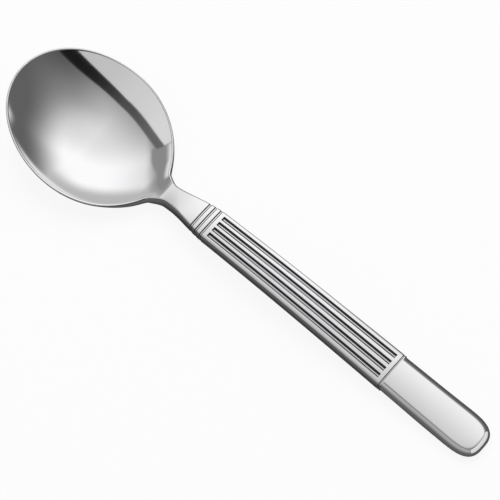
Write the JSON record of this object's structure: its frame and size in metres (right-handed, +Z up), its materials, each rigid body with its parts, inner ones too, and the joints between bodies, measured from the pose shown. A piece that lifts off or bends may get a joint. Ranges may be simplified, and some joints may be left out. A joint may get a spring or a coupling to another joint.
{
  "type": "soup spoon",
  "caption": "Steel soup spoon with a deep oval bowl, a slim neck, a ringed collar, a fluted grip and a plain rounded end.",
  "frame": {"origin": "on the table plane, under the middle of the spoon's length and width", "axes": "+X from the bowl's tip towards the handle's end, +Y across the spoon, +Z up out of the hollow of the bowl"},
  "size_m": [0.17, 0.0426, 0.0142],
  "materials": {
    "polished_steel": "mirror polished stainless steel with fine wiping marks",
    "fluted_steel": "polished stainless steel, darker in the rings and flutes"
  },
  "bodies": {
    "root": {"bowl": "polished_steel", "neck": "polished_steel", "collar": "fluted_steel", "fluted_grip": "fluted_steel", "rear_band": "fluted_steel", "plain_end": "polished_steel"}
  },
  "joints": []
}
